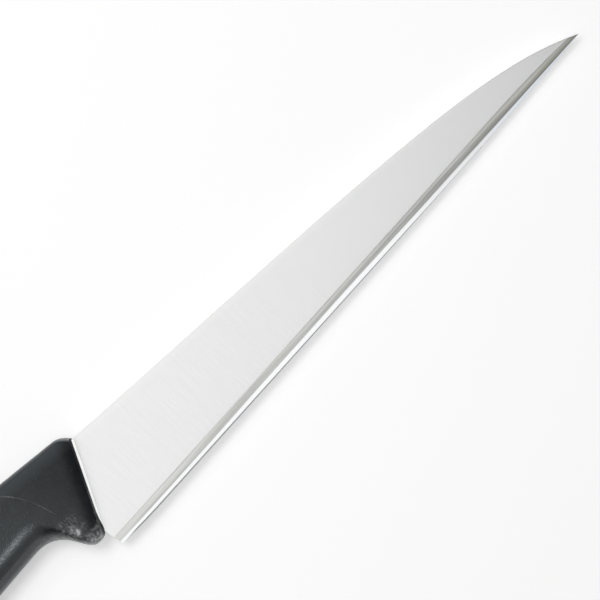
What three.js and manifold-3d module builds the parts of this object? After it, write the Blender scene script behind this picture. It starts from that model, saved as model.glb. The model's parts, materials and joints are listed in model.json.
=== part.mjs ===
// A sashimi knife with a single-bevel blade. The blade's tang sits in a moulded core that carries the finger
// guard, and a grained grip sleeve is moulded over the core's stem. The knife lies on its left side.
// Sizes are in millimetres and angles in degrees. In the knife's own axes X runs along the cutting edge from
// heel to tip, Y towards the spine and Z out of the bevelled right face. The heel's corner is at zero.

import * as THREE from "three";
import { ConvexHull } from "three/addons/math/ConvexHull.js";
import { mergeVertices } from "three/addons/utils/BufferGeometryUtils.js";
import Module from "manifold-3d";

const wasm = await Module();
wasm.setup();

// Blade
const bladeLength = 254.7;
const spineHeight = 42.4; // above the edge, at the heel
const spineAngle = 6.16; // the spine's fall towards the tip
const spineStraight = 88; // straight run of the spine from the heel
const sweepLead = 106; // how far the straight's direction carries into the sweep down to the tip
const tipLead = 27;
const tipAngle = 28.5;
const tipRise = 1.45; // of the tip above the straight edge
const edgeStraight = 160; // straight run of the edge from the heel
const tipFlat = 0.4; // length taken off the last sliver of the tip
const stockThickness = 2.2; // of the tang and the unground strip in front of the handle
const grindDepth = 0.05; // taken off each face in front of that strip
const tipThickness = 1.5;
const pointStart = 215; // along the edge, where the bevel's upper line starts to come down to the tip
const tipThinning = 1; // taken off the left face at the tip, growing from there
const bevelHeight = 4.85; // of the ground bevel's upper line above the straight edge
const bevelDrop = 2; // how far that line has come down at the tip
const honeWidth = 1.75; // of the honed band along the straight edge
const honeTipWidth = 0.13; // and at the tip
const honeAngle = 28;
const edgeThickness = 0.1;
const spineChamfer = 0.3;
const tipShare = 0.25; // most of the blade's height that the chamfer or the honed band takes near the tip
const bevelShare = 0.85; // most of the way from the honed band to the spine that the bevel takes there
const heelLean = 7; // of the blade's rear edge
const stripWidth = 0.7; // unground strip in front of the handle

// Handle outline
const frontReach = 15.9; // how far the handle covers the spine past the heel
const frontLip = 0.5; // the front's upper end above the spine
const frontLean = 28.85;
const frontFoot = 14.8; // height where the straight front ends above the guard
const backRise = 9.03; // angle at which the back climbs away from the front
const backStep = 4; // the back above the spine, at the front
const shoulderBack = 2.6; // from the front to where the shoulder's curve would have its corner
const shoulderRound = 5.5; // from the front to where that curve ends on the back
const crestBack = 55; // the crest of the back behind the heel
const crestRound = 38;
const handleLength = 128; // from the heel to the butt
const buttHigh = 44.5;
const buttHighRound = 11;
const buttLow = 17.5;
const buttLowRound = 9;
const guardLow = 7.5; // height of the guard's underside
const guardReach = 1.4; // of the guard's nose ahead of the straight front
const guardRound = 2.9;
const guardBackAngle = 62;
const guardThickness = 6.65; // along its underside
const gripLow = 22.4; // height of the grip's underside behind the finger notch
const notchRound = 9;
const palmBack = 72;
const palmLow = 20.8;
const palmRound = 18;
const waistFromButt = 29;
const waistLow = 26;
const waistRound = 11;

// Handle section
const handleThickness = 19.5;
const lipThickness = 4.8; // of the front where it meets the blade
const lipRound = 1.2; // edge rounding there
const backRound = 3.2; // of the back's edge
const backTo = 38; // along the back, where its rounding has grown to that
const guardBelly = 4.5; // rounding of the belly's edge round the guard
const guardTo = 12; // along the back, where it has grown to that
const bellyRound = 10.5; // and along the grip
const bellyFrom = 18; // along the back, where the guard's rounding starts to grow to the grip's
const bellyTo = 33;
const leastRound = 0.8; // of the edges inside the handle
const frontRound = 0.4; // of the front's edge
const domeHigh = 10; // run over which the side swells behind the front, at its upper end
const domeLow = 12; // and at the guard
const domeDrop = 0.15; // share of that run by which the side is lower at the front
const buttRound = 9;
const buttEdge = 1.2; // thickness left at the butt's rim

// Core, sleeve and tang
const fitGap = 0.3; // between neighbouring pieces
const seamHigh = 23; // where the seam of core and sleeve crosses the back, behind the heel
const seamBow = 5.5; // where the seam's bow leads, behind the heel
const seamBowHeight = 40;
const seamLow = 7.5; // where the seam crosses the guard, behind the heel
const gripSink = 0.15; // how far the sleeve lies below the core's surface
const sleeveWall = 3.4;
const stemStart = 16; // along the back from the front, inside the guard
const stemEndWall = 5; // of the stem behind the tang
const lockCount = 3;
const lockPitch = 24;
const lockFirst = 58; // along the back from the front
const lockWidth = 6;
const lockDepth = 1.2;
const tangWidth = 14;
const tangEndWidth = 10;
const tangFrontBack = 20; // place behind the heel where the tang takes the handle's middle height
const buttSolid = 32; // from the tang's end to the butt
const tangHoles = 3;
const tangHolePitch = 26;
const tangHoleFirst = 32; // behind the heel
const tangHoleDiameter = 6;

// Densities in grams per cubic millimetre, for the way the knife lies
const steelDensity = 0.0078;
const coreDensity = 0.00091;
const sleeveDensity = 0.00095;

// Fineness of the curved surfaces
const sweepSteps = 14;
const straightSteps = 3;
const roundSteps = 6;
const flatSteps = 3;
const frontStep = 1.3; // between sections near the front
const frontRun = 12; // along the back, how far they go
const guardStep = 3; // past the front, round the guard and the notch
const gripStep = 7;
const buttStep = 2.2;
const guardRun = 36; // along the back, how far the guard's fine sections go
const buttRun = 22; // along the back, where the butt's fine sections start before its end
const holeSegments = 24;
const findWithin = 0.001; // how closely a place along the back is found

const slope = (angle) => Math.tan(THREE.MathUtils.degToRad(angle));
const spineAt = (x) => spineHeight - x * slope(spineAngle);
const rearAt = (y) => -y * slope(heelLean);
const frontTop = new THREE.Vector2(frontReach, spineAt(frontReach) + frontLip);
const frontAt = (y) => frontReach - (frontTop.y - y) * slope(frontLean);
const backAt = (x) => spineAt(frontReach) + backStep + (frontReach - x) * slope(backRise);
const buttX = -handleLength;

// A quarter ellipse that climbs from 0 to 1 over the run
function roundOver(depth, run) {
  const left = 1 - THREE.MathUtils.clamp(depth / run, 0, 1);
  return Math.sqrt(1 - left * left);
}

// A closed body through rings of points that run anticlockwise seen from outside the first ring
function loft(rings) {
  const sides = rings[0].length;
  const last = (rings.length - 1) * sides;
  const triangles = [];
  for (let ring = 0; ring < rings.length - 1; ring++) {
    for (let side = 0; side < sides; side++) {
      const a = ring * sides + side;
      const b = ring * sides + (side + 1) % sides;
      triangles.push(a, a + sides, b, b, a + sides, b + sides);
    }
  }
  for (let side = 1; side < sides - 1; side++) {
    triangles.push(0, side, side + 1, last, last + side + 1, last + side);
  }
  const geometry = new THREE.BufferGeometry().setFromPoints(rings.flat());
  geometry.setIndex(triangles);
  return geometry;
}

// A flat plate of an outline, centred on the blade's middle plane
function plate(shape, thickness) {
  const geometry = new THREE.ExtrudeGeometry(shape, {
    depth: thickness,
    bevelEnabled: false,
    curveSegments: holeSegments,
  });
  return geometry.translate(0, 0, -thickness / 2);
}

function solidOf(geometry) {
  const bare = geometry.clone();
  bare.deleteAttribute("normal");
  bare.deleteAttribute("uv");
  const merged = mergeVertices(bare);
  return new wasm.Manifold(new wasm.Mesh({
    numProp: 3,
    vertProperties: new Float32Array(merged.attributes.position.array),
    triVerts: new Uint32Array(merged.index.array),
  }));
}

function meshOf(name, solid, material) {
  const { vertProperties, triVerts } = solid.getMesh();
  const geometry = new THREE.BufferGeometry();
  geometry.setAttribute("position", new THREE.BufferAttribute(vertProperties, 3));
  geometry.setIndex(new THREE.BufferAttribute(triVerts, 1));
  geometry.computeVertexNormals();
  const mesh = new THREE.Mesh(geometry, material);
  mesh.name = name;
  return mesh;
}

// A path through the corners, each rounded by a curve that starts and ends the given distance from it
function roundedPath(start, corners, end) {
  const path = new THREE.Path().moveTo(start.x, start.y);
  const stops = [start, ...corners.map(({ at }) => at), end];
  corners.forEach(({ at, round }, index) => {
    const before = stops[index].clone().sub(at).setLength(round).add(at);
    const after = stops[index + 2].clone().sub(at).setLength(round).add(at);
    path.lineTo(before.x, before.y);
    path.quadraticCurveTo(at.x, at.y, after.x, after.y);
  });
  return path.lineTo(end.x, end.y);
}

// Where the line from p along d meets the line from q along e
function meet(p, d, q, e) {
  const along = q.clone().sub(p).cross(e) / d.cross(e);
  return d.clone().multiplyScalar(along).add(p);
}

// The handle's back and belly, both from the front to the butt
function backPath() {
  const shoulder = new THREE.Vector2(frontReach - shoulderBack, backAt(frontReach - shoulderBack));
  const shoulderEnd = new THREE.Vector2(frontReach - shoulderRound, backAt(frontReach - shoulderRound));
  const crest = new THREE.Vector2(-crestBack, backAt(-crestBack));
  const rest = roundedPath(
    shoulderEnd,
    [{ at: crest, round: crestRound }, { at: new THREE.Vector2(buttX, buttHigh), round: buttHighRound }],
    new THREE.Vector2(buttX, buttHigh - buttHighRound),
  );
  const path = new THREE.Path().moveTo(frontTop.x, frontTop.y);
  path.quadraticCurveTo(shoulder.x, shoulder.y, shoulderEnd.x, shoulderEnd.y);
  path.curves.push(...rest.curves);
  return path;
}

function bellyPath() {
  const foot = new THREE.Vector2(frontAt(frontFoot), frontFoot);
  const guardFront = new THREE.Vector2(frontAt(guardLow) + guardReach, guardLow);
  const guardBack = new THREE.Vector2(guardFront.x - guardThickness, guardLow);
  const notch = new THREE.Vector2(guardBack.x - (gripLow - guardLow) / slope(guardBackAngle), gripLow);
  return roundedPath(
    foot,
    [
      { at: guardFront, round: guardRound },
      { at: guardBack, round: guardRound },
      { at: notch, round: notchRound },
      { at: new THREE.Vector2(-palmBack, palmLow), round: palmRound },
      { at: new THREE.Vector2(buttX + waistFromButt, waistLow), round: waistRound },
      { at: new THREE.Vector2(buttX, buttLow), round: buttLowRound },
    ],
    new THREE.Vector2(buttX, buttLow + buttLowRound),
  );
}

const back = backPath();
const belly = bellyPath();
const backRun = back.getLength();

// The handle's half thickness at a place on its side, before the edges are rounded
function sideHeight(x, y, share) {
  const behindFront = (frontAt(y) - x) * Math.cos(THREE.MathUtils.degToRad(frontLean));
  const run = THREE.MathUtils.lerp(domeHigh, domeLow, share);
  const dome = domeDrop * run * THREE.MathUtils.clamp(1 - behindFront / run, 0, 1) ** 3;
  const swell = handleThickness / 2 - dome;
  const front = THREE.MathUtils.lerp(lipThickness / 2, swell, roundOver(behindFront, frontRound));
  const butt = Math.max(roundOver(x - buttX, buttRound), buttEdge / handleThickness);
  return front * butt;
}

// One section of the handle, down the right side from the back and up the left, in from the skin by inset
function handleRing(station, inset) {
  const high = back.getPointAt(station / backRun);
  const low = belly.getPointAt(station / backRun);
  const length = high.distanceTo(low);
  const { lerp, smoothstep } = THREE.MathUtils;
  const upperRound = lerp(lipRound, backRound, smoothstep(station, 0, backTo));
  const guardRounding = lerp(lipRound, guardBelly, smoothstep(station, 0, guardTo));
  const gripRounding = (bellyRound - guardBelly) * smoothstep(station, bellyFrom, bellyTo);
  const highRound = Math.max(upperRound - inset, leastRound);
  const lowRound = Math.max(guardRounding + gripRounding - inset, leastRound);
  const fit = Math.min((length - 2 * inset) / (highRound + lowRound), 1);
  const depths = [];
  for (let step = 0; step <= roundSteps; step++) {
    const turn = Math.PI / 2 * step / roundSteps;
    depths.push({ down: inset + highRound * fit * (1 - Math.cos(turn)), edge: Math.sin(turn) });
  }
  const flatTop = inset + highRound * fit;
  const flatEnd = length - inset - lowRound * fit;
  for (let step = 1; step < flatSteps; step++) {
    depths.push({ down: lerp(flatTop, flatEnd, step / flatSteps), edge: 1 });
  }
  for (let step = roundSteps; step >= 0; step--) {
    const turn = Math.PI / 2 * step / roundSteps;
    depths.push({ down: length - inset - lowRound * fit * (1 - Math.cos(turn)), edge: Math.sin(turn) });
  }
  const side = depths.map(({ down, edge }) => {
    const place = high.clone().lerp(low, down / length);
    return new THREE.Vector3(place.x, place.y, (sideHeight(place.x, place.y, down / length) - inset) * edge);
  });
  const mirrored = side.slice(1, -1).reverse().map((point) => new THREE.Vector3(point.x, point.y, -point.z));
  return [...side, ...mirrored];
}

// Stations along the back at which the outer skin has a section
function skinStations() {
  const stations = [0, frontRound / 2];
  let station = frontRound;
  while (station < backRun) {
    stations.push(station);
    if (station < frontRun) station += frontStep;
    else if (station < guardRun) station += guardStep;
    else if (station < backRun - buttRun) station += gripStep;
    else station += buttStep;
  }
  return [...stations.filter((place) => backRun - place > buttStep / 2), backRun];
}

function handleSkin(inset) {
  return solidOf(loft(skinStations().map((station) => handleRing(station, inset))));
}

// The station along the back where it passes a place behind the heel
function stationAt(x) {
  let low = 0;
  let high = backRun;
  while (high - low > findWithin) {
    const middle = (low + high) / 2;
    if (back.getPointAt(middle / backRun).x > x) low = middle;
    else high = middle;
  }
  return high;
}

// The handle's middle height at a place behind the heel
function middleAt(x) {
  const share = stationAt(x) / backRun;
  return (back.getPointAt(share).y + belly.getPointAt(share).y) / 2;
}

const tangEnd = buttX + buttSolid;
const tangFront = new THREE.Vector2(-tangFrontBack, middleAt(-tangFrontBack));
const tangBack = new THREE.Vector2(tangEnd, middleAt(tangEnd));
const tangAxisAt = (x) => THREE.MathUtils.mapLinear(x, tangFront.x, tangBack.x, tangFront.y, tangBack.y);

// Outline of the unground stock behind a line that leans like the handle's front: the strip in front of the
// handle, the shoulder inside it and the tang. The ground blade is smaller than the stock all round.
function stockShape(grow, frontX) {
  const skin = grindDepth + grow;
  const spineLine = new THREE.Vector2(0, spineHeight + skin);
  const rearLine = new THREE.Vector2(-skin, 0);
  const frontLine = new THREE.Vector2(frontX, frontTop.y);
  const spineWay = new THREE.Vector2(1, -slope(spineAngle));
  const rearWay = new THREE.Vector2(-slope(heelLean), 1);
  const frontWay = new THREE.Vector2(slope(frontLean), 1);
  const shoulderLow = tangAxisAt(0) - tangWidth / 2 - grow;
  const endHalf = tangEndWidth / 2 + grow;
  return new THREE.Shape([
    meet(frontLine, frontWay, spineLine, spineWay),
    meet(frontLine, frontWay, rearLine, rearWay),
    new THREE.Vector2(rearAt(shoulderLow) - skin, shoulderLow),
    new THREE.Vector2(tangEnd - grow, tangBack.y - endHalf),
    new THREE.Vector2(tangEnd - grow, tangBack.y + endHalf),
    meet(rearLine, rearWay, spineLine, spineWay),
  ]);
}

// A row of round pins across the tang and past both its faces
function tangPins(diameter) {
  let pins = null;
  for (let hole = 0; hole < tangHoles; hole++) {
    const x = -tangHoleFirst - hole * tangHolePitch;
    const pin = new THREE.CylinderGeometry(diameter / 2, diameter / 2, 2 * stockThickness, holeSegments);
    pin.rotateX(Math.PI / 2).translate(x, tangAxisAt(x), 0);
    pins = pins ? pins.add(solidOf(pin)) : solidOf(pin);
  }
  return pins;
}

// Height of the cutting edge, width of its honed band and height of the bevel's upper line, at a place along
// the blade. The honed band's own upper line runs straight to the tip.
const edgeRun = (x) => Math.max(x - edgeStraight, 0) / (bladeLength - edgeStraight);
const edgeAt = (x) => tipRise * edgeRun(x) ** 2;
const honeAt = (x) => THREE.MathUtils.lerp(honeWidth, tipRise + honeTipWidth, edgeRun(x)) - edgeAt(x);
const pointRun = (x) => (Math.max(x - pointStart, 0) / (bladeLength - pointStart)) ** 2;
const bevelAt = (x) => bevelHeight - bevelDrop * pointRun(x);

// Heights of the two ground faces. The left one is flat but for the thinned point.
const groundBack = grindDepth - stockThickness / 2;
const leftAt = (x) => groundBack + tipThinning * pointRun(x);
function groundFace(x) {
  const share = THREE.MathUtils.clamp(x / bladeLength, 0, 1);
  return groundBack + THREE.MathUtils.lerp(stockThickness - 2 * grindDepth, tipThickness, share);
}

// Height of the right face over the place: the flat, the ground bevel or the honed band
function faceAt(x, y) {
  const rise = y - edgeAt(x);
  const hone = honeAt(x);
  const honeTop = leftAt(x) + edgeThickness + hone * slope(honeAngle);
  if (rise <= hone) return leftAt(x) + edgeThickness + rise * slope(honeAngle);
  const share = Math.min((rise - hone) / (bevelAt(x) - edgeAt(x) - hone), 1);
  return THREE.MathUtils.lerp(honeTop, groundFace(x), share);
}

// One section of the ground blade, up the right face and down the left, leaning back at the heel
function bladeRing(x, spine, lean) {
  const edge = edgeAt(x);
  const left = leftAt(x);
  const most = (spine - edge) * tipShare;
  const chamfer = Math.min(spineChamfer, most);
  const top = spine - chamfer;
  const hone = edge + Math.min(honeAt(x), most);
  const bevel = Math.min(bevelAt(x), THREE.MathUtils.lerp(hone, top, bevelShare));
  const rows = [
    [edge, left],
    [edge, faceAt(x, edge)],
    [hone, faceAt(x, hone)],
    [bevel, faceAt(x, bevel)],
    [top, faceAt(x, top)],
    [spine, Math.max(faceAt(x, top) - chamfer, left + chamfer + edgeThickness)],
    [spine, left + chamfer],
    [top, left],
  ];
  return rows.map(([y, z]) => new THREE.Vector3(x + lean * rearAt(y), y, z));
}

function makeBlade() {
  const rings = [bladeRing(0, spineAt(rearAt(spineHeight)), 1)];
  for (let step = 0; step < straightSteps; step++) {
    const x = THREE.MathUtils.lerp(frontReach, spineStraight, step / straightSteps);
    rings.push(bladeRing(x, spineAt(x), 0));
  }
  const sweep = new THREE.CubicBezierCurve(
    new THREE.Vector2(spineStraight, spineAt(spineStraight)),
    new THREE.Vector2(spineStraight + sweepLead, spineAt(spineStraight + sweepLead)),
    new THREE.Vector2(bladeLength - tipLead, tipRise + tipLead * slope(tipAngle)),
    new THREE.Vector2(bladeLength, tipRise),
  );
  const blunt = new THREE.Vector2(bladeLength - tipFlat, tipRise + tipFlat * slope(tipAngle));
  const places = [...sweep.getPoints(sweepSteps).slice(0, -1), blunt];
  places.forEach((place) => rings.push(bladeRing(place.x, place.y, 0)));

  const stripFront = frontReach + stripWidth / Math.cos(THREE.MathUtils.degToRad(frontLean));
  const stock = solidOf(plate(stockShape(0, stripFront), stockThickness));
  return solidOf(loft(rings)).add(stock).subtract(tangPins(tangHoleDiameter));
}

// The slot that the stock and the blade's heel sit in, open to the front and under the guard
function stockPocket() {
  const pastHeel = frontReach + spineHeight;
  return solidOf(plate(stockShape(fitGap, pastHeel), stockThickness + 2 * fitGap));
}

// Everything behind the seam between core and sleeve, moved back by the gap
function behindSeam(gap) {
  const shape = new THREE.Shape();
  shape.moveTo(-seamLow - gap, 0);
  shape.lineTo(-seamLow - gap, guardLow);
  shape.quadraticCurveTo(-seamBow - gap, seamBowHeight, -seamHigh - gap, backAt(-seamHigh));
  shape.lineTo(-seamHigh - gap, 2 * backAt(-seamHigh));
  shape.lineTo(2 * buttX, 2 * backAt(-seamHigh));
  shape.lineTo(2 * buttX, 0);
  return solidOf(plate(shape, 2 * handleThickness));
}

// The core's stem inside the sleeve, with ring grooves that lock the sleeve, larger all round by grow
function stem(grow) {
  const wall = sleeveWall + gripSink - grow;
  const end = stationAt(tangEnd - stemEndWall) + grow;
  const places = [];
  for (let station = stemStart; station < lockFirst - lockWidth; station += guardStep) {
    places.push([station, wall]);
  }
  for (let lock = 0; lock < lockCount; lock++) {
    const middle = lockFirst + lock * lockPitch;
    const half = lockWidth / 2 - grow;
    places.push([middle - half - lockDepth, wall], [middle - half, wall + lockDepth]);
    places.push([middle + half, wall + lockDepth], [middle + half + lockDepth, wall]);
  }
  places.push([end, wall]);
  return solidOf(loft(places.map(([station, inset]) => handleRing(station, inset))));
}

// The guard and stem in one, with plugs of its own plastic through the tang's holes
function makeCore() {
  const nose = handleSkin(0).subtract(behindSeam(0));
  const plugs = tangPins(tangHoleDiameter - 2 * fitGap);
  return nose.add(stem(0)).subtract(stockPocket()).add(plugs);
}

function makeSleeve() {
  return handleSkin(gripSink).intersect(behindSeam(fitGap)).subtract(stem(fitGap));
}

// Volume times density, and the centre, of a closed solid
function weigh(solid, density) {
  const { vertProperties, triVerts } = solid.getMesh();
  const corner = (index) => new THREE.Vector3().fromArray(vertProperties, 3 * triVerts[index]);
  const moment = new THREE.Vector3();
  let mass = 0;
  for (let index = 0; index < triVerts.length; index += 3) {
    const [a, b, c] = [corner(index), corner(index + 1), corner(index + 2)];
    const part = a.dot(b.clone().cross(c)) / 6 * density;
    moment.addScaledVector(a.add(b).add(c), part / 4);
    mass += part;
  }
  return { mass, moment };
}

// The outward direction of the hull face under the centre of mass, on which the knife lies still
function lyingFace(points, centre) {
  const hull = new ConvexHull().setFromPoints(points);
  const hit = new THREE.Vector3();
  const stable = hull.faces.filter((face) => {
    const corners = [0, 1, 2].map((index) => face.getEdge(index).head().point);
    return face.normal.z < 0 && new THREE.Ray(centre, face.normal).intersectTriangle(...corners, false, hit);
  });
  stable.sort((one, other) => one.normal.z - other.normal.z);
  return stable[0].normal;
}

const steel = new THREE.MeshStandardMaterial({ color: 0xe7e7e6, metalness: 1, roughness: 0.3 });
const corePlastic = new THREE.MeshStandardMaterial({ color: 0x2b2f31, metalness: 0, roughness: 0.45 });
const gripPlastic = new THREE.MeshStandardMaterial({ color: 0x282c2e, metalness: 0, roughness: 0.6 });

const pieces = [
  { name: "blade", solid: makeBlade(), material: steel, density: steelDensity },
  { name: "handle_core", solid: makeCore(), material: corePlastic, density: coreDensity },
  { name: "grip_sleeve", solid: makeSleeve(), material: gripPlastic, density: sleeveDensity },
];

const knife = new THREE.Group();
const centre = new THREE.Vector3();
const surface = [];
let mass = 0;
for (const { name, solid, material, density } of pieces) {
  const mesh = meshOf(name, solid, material);
  const weight = weigh(solid, density);
  const places = mesh.geometry.attributes.position;
  for (let index = 0; index < places.count; index++) {
    surface.push(new THREE.Vector3().fromBufferAttribute(places, index));
  }
  centre.add(weight.moment);
  mass += weight.mass;
  knife.add(mesh);
}
centre.divideScalar(mass);

// Laid down on that face, with the origin under the middle of its box
const down = new THREE.Vector3(0, 0, -1);
knife.quaternion.setFromUnitVectors(lyingFace(surface, centre), down);
knife.updateMatrixWorld(true);
const box = new THREE.Box3().setFromObject(knife, true);
const middle = box.getCenter(new THREE.Vector3());
knife.position.set(-middle.x, -middle.y, -box.min.z);

const part = new THREE.Group();
part.add(knife);

export default part;
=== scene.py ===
"""Looks of a sashimi knife: a satin blade with a ground bevel and a honed edge, and a charcoal handle.

Pieces are built in the knife's own axes, in millimetres: X runs along the cutting edge from heel to tip,
Y towards the spine and Z out of the bevelled right face, with the heel's corner at zero.
"""

import json
import math

import bmesh
import bpy
import numpy as np
from mathutils import Matrix, Vector


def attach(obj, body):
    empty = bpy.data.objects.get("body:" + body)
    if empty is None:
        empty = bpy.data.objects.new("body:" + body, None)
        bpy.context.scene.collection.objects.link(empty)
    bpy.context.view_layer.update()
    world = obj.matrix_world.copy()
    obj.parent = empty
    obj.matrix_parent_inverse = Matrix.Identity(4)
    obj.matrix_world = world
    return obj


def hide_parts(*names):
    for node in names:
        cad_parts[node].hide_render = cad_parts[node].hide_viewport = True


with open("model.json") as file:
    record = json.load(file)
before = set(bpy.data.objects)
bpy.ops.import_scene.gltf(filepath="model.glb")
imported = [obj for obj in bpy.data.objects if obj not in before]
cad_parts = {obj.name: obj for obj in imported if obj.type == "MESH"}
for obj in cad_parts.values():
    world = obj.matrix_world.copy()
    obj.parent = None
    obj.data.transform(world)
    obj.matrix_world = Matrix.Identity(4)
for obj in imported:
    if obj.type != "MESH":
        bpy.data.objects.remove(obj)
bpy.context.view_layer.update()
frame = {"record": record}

MM = 0.001

# Blade
BLADE_LENGTH = 254.7
SPINE_HEIGHT = 42.4
SPINE_ANGLE = 6.16
SPINE_STRAIGHT = 88
SWEEP_LEAD = 106
TIP_LEAD = 27
TIP_ANGLE = 28.5
TIP_RISE = 1.45
TIP_FLAT = 0.41
POINT_START = 215  # where the bevel's upper line starts to come down to the tip
EDGE_STRAIGHT = 160
STOCK_THICKNESS = 2.2
GRIND_DEPTH = 0.05
TIP_THICKNESS = 1.5
TIP_THINNING = 1
LEFT_CLEAR = 0.005  # of the left face, inside the solid one
BEVEL_HEIGHT = 4.55
BEVEL_DROP = 1.7
BEVEL_HOLLOW = 0.13  # depth of the ground bevel's hollow
HONE_WIDTH = 1.75
HONE_TIP_WIDTH = 0.13
HONE_ANGLE = 28
HONE_SWELL = 0.3  # how much wider the honed band is along its middle
SWELL_FROM = 50
SWELL_FULL = 90
SWELL_OVER = 120
SWELL_TO = 180
MICRO_WIDTH = 0.57  # of the last steep grind at the very edge
MICRO_TAPER = 0.8
MICRO_RUN = 9  # from the heel, over which it comes in
HEEL_RISE = 0.8  # how far the edge rises to the heel, and the honed band's upper line with it
HEEL_LINE_RISE = 0.16
HEEL_RUN = 20
MICRO_LEAST = 0.02
EDGE_THICKNESS = 0.1
EDGE_FINE = 0.03
SPINE_ROUND = 0.18
TIP_SHARE = 0.25  # of the height at the tip, the most that the spine's rounding takes
BEVEL_CREASE = 0.25  # half width of the rounding along the bevel's upper line
HONE_CREASE = 0.1
HEEL_LEAN = 7
STRIP_WIDTH = 0.85
STRIP_DROP = 0.08  # of the strip's ramp, from the stock's full thickness down to the ground face

# Handle outline
FRONT_REACH = 15.9
FRONT_LIP = 0.5
FRONT_LEAN = 28.85
FRONT_FOOT = 14.8
BACK_RISE = 9.03
BACK_STEP = 4
SHOULDER_BACK = 2.6
SHOULDER_ROUND = 5.5
CREST_BACK = 55
CREST_ROUND = 38
HANDLE_LENGTH = 128
BUTT_HIGH = 44.5
BUTT_HIGH_ROUND = 11
BUTT_LOW = 17.5
BUTT_LOW_ROUND = 9
GUARD_LOW = 7.5
GUARD_REACH = 1.4
GUARD_ROUND = 2.9
GUARD_BACK_ANGLE = 62
GUARD_THICKNESS = 6.65
GRIP_LOW = 22.4
NOTCH_ROUND = 9
PALM_BACK = 72
PALM_LOW = 20.8
PALM_ROUND = 18
WAIST_FROM_BUTT = 29
WAIST_LOW = 26
WAIST_ROUND = 11

# Handle section: what ends in FROM or TO is a station, a length along the back from its front end
HANDLE_THICKNESS = 19.5
BACK_ROUND = 3.2
BACK_WALL = 0.55  # share of the half thickness that is upright along the back, up to where the wall fades
WALL_FROM = 30
WALL_TO = 55
GUARD_BELLY = 4.5
BELLY_ROUND = 10.5
BELLY_FROM = 18
BELLY_TO = 33
LIP_THICKNESS = 4.8
LIP_ROUND = 1.2
LEAST_ROUND = 0.8
LIP_TO = 12
BACK_TO = 38
FRONT_ROUND = 0.2
DOME_HIGH = 10
DOME_LOW = 12
DOME_DROP = 0.15  # of the side at the front, as a share of the dome's length
BUTT_ROUND = 9
BUTT_EDGE = 1.2
MOULD_LINE = 0.05  # of the skin below the outline, but for the fine ridge where the mould's halves met
LINE_SINK = 0.02  # of that ridge

# Core, sleeve and tang
FIT = 0.03
SEAM_HIGH = 23
SEAM_BOW = 5.5
SEAM_BOW_HEIGHT = 40
SEAM_LOW = 7.5
SEAM_ROUND = 0.06  # rounding of the core's edge along the seam
SEAM_LINE_WIDTH = 0.95  # width of the pale line beside it, worn and with a painted highlight
SLEEVE_ROUND = 0.06
GRIP_SINK = 0.15
SLEEVE_WALL = 3.4
STEM_STRAIGHT = 50  # along the back, where the stem's sections stop following the seam
STEM_END_WALL = 5
LOCK_COUNT = 3
LOCK_PITCH = 24
LOCK_FIRST = 58
LOCK_WIDTH = 6
LOCK_DEPTH = 1.2
TANG_WIDTH = 14
TANG_END_WIDTH = 10
TANG_FRONT_BACK = 20
BUTT_SOLID = 32  # from the tang's end to the butt
TANG_HOLES = 3
TANG_HOLE_PITCH = 26
TANG_HOLE_FIRST = 32
TANG_HOLE_DIAMETER = 6

# Fineness of the meshes
CURVE_STEPS = 40
ROUND_STEPS = 16
MOULD_TURN = 0.02
FLAT_STEPS = 14
NOSE_ROWS = 60
FRONT_ROWS = 7  # of those, the ones on the front wall
SEAM_ROWS = 6
GRIP_STEP = 1.2
BUTT_STEP = 0.4
STATION_STEPS = 1600
BLADE_STEP = 2
SWEEP_STEPS = 90
HOLE_SEGMENTS = 48
HALVINGS = 40
MERGE_WITHIN = 0.001
SHARP_ANGLE = 25
EDGE_POINTS = 3  # across the last grind, and so on for the blade's other faces
HONE_POINTS = 6
BEVEL_POINTS = 12
FACE_POINTS = 14
LEFT_POINTS = 10
SPINE_POINTS = 5  # round each of the spine's edges
CREASE_POINTS = 7  # across the roundings between the honed band, the bevel and the face
HONE_SPLIT = 4  # of those, where the bevel's finish starts
BEVEL_SPLIT = 5  # and where the face's finish starts

# Photograph: where its middle falls on the knife, its width there, and the camera's distance
VIEW_MIDDLE = (111.35, 12.37)
VIEW_WIDTH = 223.5
VIEW_TURN = 48.03  # of the image's upright, from the spine's side towards the tip
VIEW_DISTANCE = 1200
SENSOR = 36

# Steel: each finish has a darker and a lighter tone, and some have other tones at the tip, which are painted
# light
FACE_TONES = (0.752, 0.758, 0.753), (0.784, 0.79, 0.785)
# painted light: the face lighter towards the tip, making up for its reflection falling off there
FACE_TIP_LIGHT_TONES = (0.808, 0.814, 0.809), (0.84, 0.846, 0.841)
BEVEL_TONES = (0.53, 0.53, 0.51), (0.82, 0.82, 0.8)
# painted shade: the bevel darker towards the tip, where its reflection darkens
BEVEL_TIP_SHADE_TONES = (0.42, 0.42, 0.385), (0.65, 0.65, 0.595)
HONE_TONES = (0.9, 0.91, 0.92), (0.95, 0.96, 0.97)
# painted reflection: the honed band darker and bluer towards the tip
HONE_TIP_REFLECTION_TONES = (0.75, 0.81, 0.89), (0.81, 0.87, 0.95)
# painted shade: the last grind darker, for the shadowed floor mirrored in the steep edge
EDGE_SHADE_TONES = (0.25, 0.25, 0.25), (0.31, 0.31, 0.31)
SPINE_TONES = (0.62, 0.62, 0.61), (0.75, 0.75, 0.74)
STRIP_TONES = (0.93, 0.93, 0.92), (0.97, 0.97, 0.96)
TIP_TONES_X = (POINT_START - 25, POINT_START + 20)  # between which the tip's tones come in
CLOUD_SIZE = (40, 25, 25)  # of the soft patches in which the roughness changes
CLOUD_SWING = 0.04  # and by what share of it

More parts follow.
